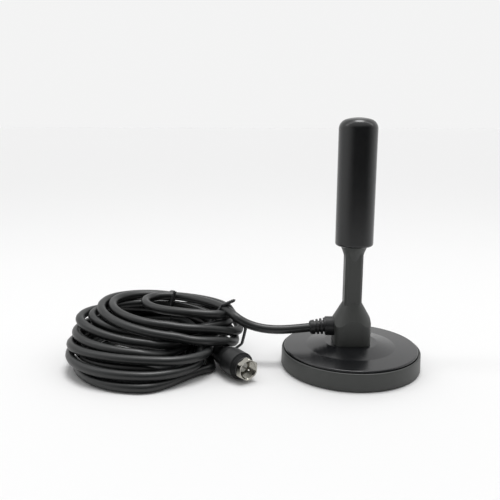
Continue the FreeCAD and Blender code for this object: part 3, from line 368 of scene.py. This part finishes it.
def turn_bends(turn, next_start):
    """The five bends of one turn, from its right end round to the right end of the next turn."""
    across, away = np.eye(3)[:2]
    plan = across + away
    right, back, left, front, corner = turn
    to_back = ROUND_SHARE * (back - right)
    to_left = ROUND_SHARE * (left - back)
    to_front = ROUND_SHARE * (front - left)
    to_corner = FRONT_SHARE * (corner - front)
    to_next = END_SHARE * (next_start - corner)
    slant = (next_start - front) * plan
    slant *= SLANT_SHARE / np.linalg.norm(slant)
    into_corner = slant * np.linalg.norm((corner - front) * plan)
    out_of_corner = slant * np.linalg.norm((next_start - corner) * plan)
    return [
        bend(right, back, to_back * away, to_back * across),
        bend(back, left, to_left * across, to_left * away),
        bend(left, front, to_front * away, to_front * across),
        bend(front, corner, to_corner * across, into_corner),
        bend(corner, next_start, out_of_corner, to_next * away),
    ]


def coil_turns():
    """Points of all the turns, from the top one down to the start of the last small loop."""
    ease_rounds = 14
    next_starts = [turn[0] for turn in TURNS[1:]] + [LAST_LOOP[0]]
    bends = []
    for turn, next_start in zip(np.array(TURNS), np.array(next_starts)):
        bends += turn_bends(turn, next_start)
    points = np.concatenate(bends)
    for _ in range(ease_rounds):
        points[1:-1, 2] = (points[:-2, 2] + 2 * points[1:-1, 2] + points[2:, 2]) / 4
    return points


def lengths(steps):
    """The length of each step, never quite nothing, so that it can be divided by."""
    least = 1e-9
    return np.maximum(np.linalg.norm(steps, axis=-1), least)


def step_off_strands(points, beside, spacing):
    """The step that takes strands closer than their spacing apart."""
    share = 0.3
    apart = points[:, None, :] - points[None, :, :]
    distance = lengths(apart)
    overlap = np.clip(spacing - distance, 0, None)
    overlap[beside] = 0
    return share * (apart * (overlap / distance)[:, :, None]).sum(axis=1)


def step_off_sleeve(points, diameter):
    """The step that takes strands out of the plug's sleeve, a taper that ends in a straight stretch."""
    length, taper_length = 34.3 * MM, 21 * MM
    thin, thick = 3.1 * MM, 7.5 * MM
    play = 0.15 * MM
    foot, axis = np.array(Vector(TAIL_ROUTE[-1])), np.array(PLUG_AXIS)
    along = np.clip((points - foot) @ axis, 0, length)
    radius = thin + (thick - thin) * np.clip(along / taper_length, 0, 1)
    away = points - (foot + along[:, None] * axis)
    distance = lengths(away)
    overlap = np.clip(radius + diameter / 2 + play - distance, 0, None)
    return away * (overlap / distance)[:, None]


def push_apart(points, held, diameter):
    """Let turns that would cut into each other, the floor or the plug's sleeve give way a little."""
    rounds, ease_rounds = 160, 2
    widest_step = 1.2 * MM
    spacing = diameter * 1.03
    neighbours = 6
    order = np.arange(len(points))
    beside = np.abs(order[:, None] - order[None, :]) < neighbours
    moved = np.zeros_like(points)
    for _ in range(rounds):
        now = points + moved
        step = step_off_strands(now, beside, spacing) + step_off_sleeve(now, diameter)
        moved += np.clip(step, -widest_step, widest_step)
        for _ in range(ease_rounds):
            moved[1:-1] = 0.25 * moved[:-2] + 0.5 * moved[1:-1] + 0.25 * moved[2:]
        moved[held] = 0
        moved[:, 2] = np.maximum(points[:, 2] + moved[:, 2], diameter / 2) - points[:, 2]
    return points + moved


def lead_points(diameter):
    """The whole lead from the boot to the plug."""
    points = np.concatenate([RUN_ROUTE, TOP_LOOP, coil_turns(), LAST_LOOP, TAIL_ROUTE])
    held = np.zeros(len(points), bool)
    held[:len(RUN_ROUTE)] = True
    held[-len(TAIL_ROUTE) - SETTLED_POINTS:] = True
    return push_apart(points, held, diameter)


def make_lead(diameter, material):
    """The lead as one NURBS spline with a round section."""
    curve = bpy.data.curves.new("antenna_lead", "CURVE")
    curve.dimensions = "3D"
    curve.resolution_u = 3
    # The points' own radius gives the section, because a curve's box counts that radius.
    curve.bevel_depth = 1
    curve.bevel_resolution = 4
    points = lead_points(diameter)
    spline = curve.splines.new("NURBS")
    spline.points.add(len(points) - 1)
    for spot, point in zip(spline.points, points):
        spot.co = (*point, 1)
        spot.radius = diameter / 2
    spline.order_u = 3
    spline.use_endpoint_u = True
    curve.materials.append(material)
    return add_object("antenna_lead", curve)


def lead_line(lead):
    """Spots along the lead's own line."""
    bevel = lead.data.bevel_depth
    lead.data.bevel_depth = 0
    mesh = bpy.data.meshes.new_from_object(lead)
    lead.data.bevel_depth = bevel
    spots = [v.co.copy() for v in mesh.vertices]
    bpy.data.meshes.remove(mesh)
    return spots


def line_length(line):
    """Length of a line through spots."""
    return sum((b - a).length for a, b in zip(line, line[1:]))


# Tubes, which the ties and the plug's thread are

def tube(name, rings, material, smooth):
    """A closed tube through rings of spots, with flat ends."""
    mesh = bmesh.new()
    rings = [[mesh.verts.new(spot) for spot in ring] for ring in rings]
    count = len(rings[0])
    for ring, following in zip(rings, rings[1:]):
        for i in range(count):
            j = (i + 1) % count
            mesh.faces.new((ring[i], ring[j], following[j], following[i]))
    mesh.faces.new(reversed(rings[0]))
    mesh.faces.new(rings[-1])
    for face in mesh.faces:
        face.smooth = smooth
    bmesh.ops.recalc_face_normals(mesh, faces=mesh.faces[:])
    data = bpy.data.meshes.new(name)
    mesh.to_mesh(data)
    mesh.free()
    data.materials.append(material)
    return add_object(name, data)


# The twist ties

X_AXIS, Y_AXIS = 0, 1
# Half of a tie's section in millimetres, across and outward: two thin wings and the wire between them
TIE_WING = [(1.05, 0.0), (0.95, 0.14), (0.45, 0.18), (0.30, 0.36), (0.0, 0.44)]


def tie_section():
    """The tie's closed section, in metres."""
    top = TIE_WING + [(-x, y) for x, y in reversed(TIE_WING[:-1])]
    ring = top + [(x, -y) for x, y in reversed(top[1:-1])]
    return [(x * MM, y * MM) for x, y in ring]


def swept_rings(path, section):
    """The section along (spot, outward) pairs, with its second axis always pointing outward."""
    rings = []
    spots = [spot for spot, _ in path]
    for number, (spot, outward) in enumerate(path):
        along = spots[min(number + 1, len(spots) - 1)] - spots[max(number - 1, 0)]
        along.normalize()
        up = (outward - outward.dot(along) * along).normalized()
        side = along.cross(up)
        rings.append([spot + side * x + up * y for x, y in section])
    return rings


def strands_through(line, axis, place, low, high):
    """Where the lead's line goes through a plane across one axis, inside a box of the other two."""
    others = [i for i in range(3) if i != axis]
    found = []
    for a, b in zip(line, line[1:]):
        if (a[axis] - place) * (b[axis] - place) < 0:
            share = (place - a[axis]) / (b[axis] - a[axis])
            spot = a + share * (b - a)
            flat = (spot[others[0]], spot[others[1]])
            if all(low[i] < flat[i] < high[i] for i in (0, 1)):
                found.append(Vector(flat))
    return found


def tie_loop(strands, reach, start_angle):
    """Spots and outward directions once round the strands, as a string pulled round them lies."""
    steps = 72
    lowest = 1.0 * MM
    loop = []
    for i in range(steps + 1):
        angle = start_angle + 2 * math.pi * i / steps
        outward = Vector((math.cos(angle), math.sin(angle)))
        furthest = max(strands, key=lambda strand: strand.dot(outward))
        spot = furthest + outward * reach
        spot.y = max(spot.y, lowest)
        loop.append((spot, outward))
    return loop


def smooth_loop(loop):
    """Ease the loop's straight stretches into its bends, with its two ends kept."""
    rounds = 2
    for _ in range(rounds):
        eased = [(a[0] + 2 * b[0] + c[0]) / 4 for a, b, c in zip(loop, loop[1:], loop[2:])]
        loop = [loop[0]] + [(spot, pair[1]) for spot, pair in zip(eased, loop[1:])] + [loop[-1]]
    return loop


def twisted_tail(knot, direction, length, turns, phase):
    """One of the two ends of a tie, wound round the other from the tip to the knot."""
    steps = 40
    radius = 0.62 * MM
    direction = direction.normalized()
    first = direction.orthogonal().normalized()
    second = direction.cross(first)
    tail = []
    for i in range(steps + 1):
        left = 1 - i / steps
        angle = phase + 2 * math.pi * turns * left
        outward = math.cos(angle) * first + math.sin(angle) * second
        tail.append((knot + direction * length * left + outward * radius, outward))
    return tail


def make_tie(name, loop, direction, length, turns, material):
    """A tie that goes once round its bundle and ends in two ends twisted together."""
    knot_lift = 0.3 * MM
    loop = smooth_loop(loop)
    spot, outward = loop[0]
    knot = spot + outward.normalized() * knot_lift
    first = twisted_tail(knot, direction, length, turns, 0)
    second = twisted_tail(knot, direction, length, turns, math.pi)
    path = first + loop[1:-1] + list(reversed(second))
    return tube(name, swept_rings(path, tie_section()), material, smooth=True)


def make_right_tie(line, diameter, material):
    """The tie round the pinched end of the coil, near the run, which hangs slack at the right and below."""
    plane = 0.0128
    box_low, box_high = (-0.0835, 0.0), (-0.05, 0.04)
    # Spots that the loop goes round besides the strands, where it hangs slack
    slack = [Vector((-0.0641, 0.0165)), Vector((-0.0659, 0.0089)), Vector((-0.0703, 0.0056))]
    reach = diameter / 2 + 0.6 * MM
    knot_angle = math.radians(130)
    # The wire lies with its flat side towards the front
    lean = -2.0
    tail = Vector((0.84, -0.2, 0.42))
    strands = strands_through(line, Y_AXIS, plane, box_low, box_high) + slack
    flat = tie_loop(strands, reach, knot_angle)
    loop = [(Vector((spot.x, plane, spot.y)), Vector((out.x, lean, out.y))) for spot, out in flat]
    return make_tie("tie_right_wire", loop, tail, length=7.9 * MM, turns=3, material=material)


def make_back_tie(line, diameter, material):
    """The tie round the back of the coil, with its tail standing up inside the small loop."""
    plane = -0.1085
    box_low, box_high = (0.0375, 0.0), (0.06, 0.04)
    # A spot in front of the strands, which brings the knot forward
    knot_side = Vector((0.0360, 0.0248))
    reach = diameter / 2 + 0.5 * MM
    knot_angle = math.radians(185)
    tail = Vector((0.32, -0.3, 0.9))
    strands = strands_through(line, X_AXIS, plane, box_low, box_high) + [knot_side]
    flat = tie_loop(strands, reach, knot_angle)
    loop = [(Vector((plane, spot.x, spot.y)), Vector((0, out.x, out.y))) for spot, out in flat]
    return make_tie("tie_back_wire", loop, tail, length=11.5 * MM, turns=4, material=material)


# The plug's thread

def make_nut_thread(material):
    """The coupling nut's inner thread, as a ridge that winds along its bore."""
    pitch = 0.794 * MM
    root, crest = 4.74 * MM, 4.36 * MM
    # Half of the ridge's width at its root and at its crest, and how far inside the mouth it starts
    half_foot, half_top = pitch / 2 * 0.95, pitch / 2 * 0.25
    depth = 0.9 * MM
    turns, steps = 6.5, 40
    mouth = Vector(NUT_JOINT["pos_m"])
    first = PLUG_AXIS.orthogonal().normalized()
    second = PLUG_AXIS.cross(first)
    outline = [(-half_foot, root), (-half_top, crest), (half_top, crest), (half_foot, root)]
    rings = []
    for i in range(int(turns * steps) + 1):
        angle = 2 * math.pi * i / steps
        out = math.cos(angle) * first + math.sin(angle) * second
        place = mouth - PLUG_AXIS * (depth + pitch * i / steps)
        rings.append([place + PLUG_AXIS * x + out * r for x, r in outline])
    return tube("nut_thread", rings, material, smooth=False)


# The stage

def make_floor(colour):
    """A plain pale floor that runs out of sight."""
    # Matt paper gives an even white that takes the object's soft shadow.
    material, _, _ = new_material("paper_sweep_white", colour, {"Roughness": 0.9})
    half = 30.0
    drop = 0.1 * MM
    corners = [(-half, -half, 0), (half, -half, 0), (half, half, 0), (-half, half, 0)]
    mesh = bpy.data.meshes.new("floor")
    mesh.from_pydata(corners, [], [(0, 1, 2, 3)])
    mesh.materials.append(material)
    floor = add_object("floor", mesh)
    floor.location.z = -drop


def faded_card():
    """Matt card, drawn see-through towards its two ends and its top."""
    # The dark card keeps the gloss black in the middle, and its soft edges print no line there.
    material, tree, shader = new_material("card_matt_black", linear("#3a3a3a"), {"Roughness": 1.0})
    place = add_node(tree, "ShaderNodeTexCoord")
    turn = add_node(tree, "ShaderNodeTexGradient", None, {"Vector": place.outputs["Object"]},
                    gradient_type="RADIAL")
    axes = add_node(tree, "ShaderNodeSeparateXYZ", None, {"Vector": place.outputs["Object"]})
    # Where each edge is clear and where it is full: two in shares of a turn, and the top in metres
    edges = [
        (turn.outputs["Fac"], 0.03, 0.19),
        (turn.outputs["Fac"], 0.54, 0.37),
        (axes.outputs["Z"], 0.6, 0.3),
    ]
    fades = []
    for value, clear, full in edges:
        fade = add_node(tree, "ShaderNodeMapRange", {"From Min": clear, "From Max": full}, {"Value": value},
                        interpolation_type="SMOOTHSTEP")
        fades.append(fade.outputs["Result"])
    left, right, top = fades
    sides = add_node(tree, "ShaderNodeMath", None, {0: left, 1: right}, operation="MULTIPLY")
    cover = add_node(tree, "ShaderNodeMath", None, {0: sides.outputs[0], 1: top}, operation="MULTIPLY")
    tree.links.new(cover.outputs[0], shader.inputs["Alpha"])
    return material


def make_flag():
    """A dark card bent round the front, which only reflections see."""
    steps, radius, height = 36, 0.5, 0.6
    left_end, right_end = math.radians(-82), math.radians(108)
    spots = []
    for i in range(steps + 1):
        angle = left_end + (right_end - left_end) * i / steps
        x, y = radius * math.sin(angle), -radius * math.cos(angle)
        spots += [(x, y, 0), (x, y, height)]
    faces = [(foot, foot + 2, foot + 3, foot + 1) for foot in range(0, 2 * steps, 2)]
    mesh = bpy.data.meshes.new("flag")
    mesh.from_pydata(spots, [], faces)
    mesh.materials.append(faded_card())
    flag = add_object("flag", mesh)
    flag.visible_camera = False
    flag.visible_diffuse = False
    flag.visible_shadow = False


def make_world():
    """Soft white surroundings, which light the object more from behind and show as one even white."""
    front_level, back_level, shown_level = 0.22, 0.70, 0.9
    world = bpy.data.worlds.new("studio")
    bpy.context.scene.world = world
    world.use_nodes = True
    tree = world.node_tree
    glow = tree.nodes["Background"]
    glow.inputs["Color"].default_value = (1, 1, 1, 1)
    path = add_node(tree, "ShaderNodeLightPath")
    seen = add_node(tree, "ShaderNodeMath", None,
                    {0: path.outputs["Is Camera Ray"], 1: path.outputs["Is Glossy Ray"]}, operation="MAXIMUM")
    shown = add_node(tree, "ShaderNodeMath", None,
                     {0: seen.outputs[0], 1: path.outputs["Is Transmission Ray"]}, operation="MAXIMUM")
    place = add_node(tree, "ShaderNodeTexCoord")
    axes = add_node(tree, "ShaderNodeSeparateXYZ", None, {"Vector": place.outputs["Generated"]})
    lit = add_node(tree, "ShaderNodeMapRange",
                   {"From Min": -1.0, "To Min": front_level, "To Max": back_level},
                   {"Value": axes.outputs["Y"]})
    level = add_node(tree, "ShaderNodeMapRange", {"To Max": shown_level},
                     {"Value": shown.outputs[0], "To Min": lit.outputs["Result"]})
    tree.links.new(level.outputs["Result"], glow.inputs["Strength"])


def make_lamps():
    """A broad soft key from above and two long strips that draw the highlights."""
    key = bpy.data.lights.new("key", "SUN")
    key.energy = 1.55
    key.angle = math.radians(28)
    add_object("key", key).rotation_euler = (math.radians(-8), math.radians(4), 0)
    strips = {"left_strip": (-0.42, 0.0, 0.62), "right_strip": (0.34, 0.0, 0.62)}
    width, length, power = 0.07, 0.7, 0.55
    target = Vector((-0.03, 0, 0.06))
    for name, place in strips.items():
        light = bpy.data.lights.new(name, "AREA")
        light.shape = "RECTANGLE"
        light.size = width
        light.size_y = length
        light.energy = power
        lamp = add_object(name, light)
        lamp.location = place
        lamp.rotation_euler = (target - Vector(place)).to_track_quat("-Z", "Y").to_euler()


def make_camera():
    """The camera at the photograph's place: a little above the antenna, looking down at it."""
    place = (-0.05829, -0.32987, 0.13613)
    pitch = math.radians(11.745)
    roll = math.radians(0.137)
    camera = bpy.data.cameras.new("photo_camera")
    camera.sensor_width = 36
    camera.lens = 43.2
    holder = add_object("photo_camera", camera)
    turn = Matrix.Rotation(math.pi / 2 - pitch, 4, "X") @ Matrix.Rotation(roll, 4, "Z")
    holder.matrix_world = Matrix.Translation(place) @ turn
    bpy.context.scene.camera = holder


# The sizes and colours that a user may change

class DressingSettings(bpy.types.PropertyGroup):
    """Sizes and colours of the dressing."""
    cable_diameter: FloatProperty(
        name="Cable diameter", description="Outside of the lead's jacket",
        default=5.2 * MM, min=3 * MM, max=8 * MM, unit="LENGTH")
    cover_colour: FloatVectorProperty(
        name="Cover", description="Colour of the glossy base cover",
        default=linear("#141517"), subtype="COLOR", size=3, min=0, max=1)
    case_colour: FloatVectorProperty(
        name="Case", description="Colour of the skirt and mast",
        default=linear("#383a38"), subtype="COLOR", size=3, min=0, max=1)
    head_colour: FloatVectorProperty(
        name="Head", description="Colour of the radome",
        default=linear("#131415"), subtype="COLOR", size=3, min=0, max=1)
    boot_colour: FloatVectorProperty(
        name="Boot", description="Colour of the boot and the plug's sleeve",
        default=linear("#141516"), subtype="COLOR", size=3, min=0, max=1)
    jacket_colour: FloatVectorProperty(
        name="Jacket", description="Colour of the lead",
        default=linear("#191b1b"), subtype="COLOR", size=3, min=0, max=1)
    tie_colour: FloatVectorProperty(
        name="Ties", description="Colour of the twist ties",
        default=linear("#303233"), subtype="COLOR", size=3, min=0, max=1)
    nickel_colour: FloatVectorProperty(
        name="Nickel", description="Colour of the plug's plating",
        default=linear("#aaa8a0"), subtype="COLOR", size=3, min=0, max=1)
    floor_colour: FloatVectorProperty(
        name="Floor", description="Colour of the floor",
        default=linear("#f4f4f4"), subtype="COLOR", size=3, min=0, max=1)


class ANTENNA_OT_case(bpy.types.Operator):
    """Finish the base, mast, radome, boot and the plug's sleeve"""
    bl_idname = "antenna.case"
    bl_label = "Case"

    def execute(self, context):
        colours = dressing()
        finish_nodes(moulded_abs_gloss(colours.cover_colour), "base_cover")
        finish_nodes(moulded_abs_satin(colours.case_colour), "base_skirt", "mast")
        finish_nodes(moulded_abs_polished(colours.head_colour), "radome")
        finish_nodes(moulded_pvc(colours.boot_colour), "cable_boot", "plug_sleeve")
        finish_nodes(moulded_rubber(), "foot_pad")
        return {"FINISHED"}


class ANTENNA_OT_inside(bpy.types.Operator):
    """Finish the weight, board and line inside the case, and the plug's insulator"""
    bl_idname = "antenna.inside"
    bl_label = "Inside"

    def execute(self, context):
        finish_nodes(sintered_ferrite(), "magnet_ring")
        finish_nodes(zinc_steel(), "steel_disc", "mast_screws")
        finish_nodes(glass_laminate(), "antenna_board")
        finish_nodes(rolled_copper(), "radiator_foil")
        finish_nodes(foamed_polyethylene(), "feed_coax", "plug_insulator")
        return {"FINISHED"}


class ANTENNA_OT_plug(bpy.types.Operator):
    """Finish the plug's metal and wind the thread into its nut"""
    bl_idname = "antenna.plug"
    bl_label = "Plug"

    def execute(self, context):
        nickel = plated_nickel(dressing().nickel_colour)
        finish_nodes(nickel, "plug_nut", "plug_post")
        finish_nodes(tinned_copper(), "plug_pin")
        thread = make_nut_thread(nickel)
        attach(thread, NUT_BODY)
        return {"FINISHED"}


class ANTENNA_OT_lead(bpy.types.Operator):
    """Lay the lead in its loose tied coil"""
    bl_idname = "antenna.lead"
    bl_label = "Lead"

    def execute(self, context):
        sizes = dressing()
        lead = make_lead(sizes.cable_diameter, extruded_pvc(sizes.jacket_colour))
        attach(lead, MAIN_BODY)
        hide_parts("cable_run", "cable_coil", "cable_tail")
        line_length(lead_line(lead))
        return {"FINISHED"}


class ANTENNA_OT_ties(bpy.types.Operator):
    """Wind the twist ties round the coil"""
    bl_idname = "antenna.ties"
    bl_label = "Ties"

    def execute(self, context):
        sizes = dressing()
        coat = coated_tie(sizes.tie_colour)
        line = lead_line(bpy.data.objects["antenna_lead"])
        ties = {"tie_right": make_right_tie, "tie_back": make_back_tie}
        for node, make in ties.items():
            tie = make(line, sizes.cable_diameter, coat)
            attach(tie, MAIN_BODY)
            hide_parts(node)
        return {"FINISHED"}


class ANTENNA_OT_stage(bpy.types.Operator):
    """Set the floor, flag, world, lamps and camera"""
    bl_idname = "antenna.stage"
    bl_label = "Stage"

    def execute(self, context):
        make_floor(dressing().floor_colour)
        make_flag()
        make_world()
        make_lamps()
        make_camera()
        context.scene.view_settings.view_transform = "Standard"
        return {"FINISHED"}


STEPS = (
    ANTENNA_OT_case,
    ANTENNA_OT_inside,
    ANTENNA_OT_plug,
    ANTENNA_OT_lead,
    ANTENNA_OT_ties,
    ANTENNA_OT_stage,
)


class VIEW3D_PT_antenna(bpy.types.Panel):
    """The dressing's steps and settings"""
    bl_label = "Indoor antenna"
    bl_space_type = "VIEW_3D"
    bl_region_type = "UI"
    bl_category = "Antenna"

    def draw(self, context):
        for step in STEPS:
            self.layout.operator(step.bl_idname)
        for name in DressingSettings.__annotations__:
            self.layout.prop(context.scene.antenna_dressing, name)


CLASSES = (DressingSettings, *STEPS, VIEW3D_PT_antenna)


def register():
    """Make the settings, operators and panel known."""
    for item in CLASSES:
        bpy.utils.register_class(item)
    bpy.types.Scene.antenna_dressing = PointerProperty(type=DressingSettings)


def unregister():
    """Take them out again."""
    del bpy.types.Scene.antenna_dressing
    for item in reversed(CLASSES):
        bpy.utils.unregister_class(item)


def main():
    """Dress the antenna and set the stage."""
    register()
    bpy.ops.antenna.case()
    bpy.ops.antenna.inside()
    bpy.ops.antenna.plug()
    bpy.ops.antenna.lead()
    bpy.ops.antenna.ties()
    bpy.ops.antenna.stage()
    bpy.context.view_layer.update()


if __name__ == "__main__":
    main()
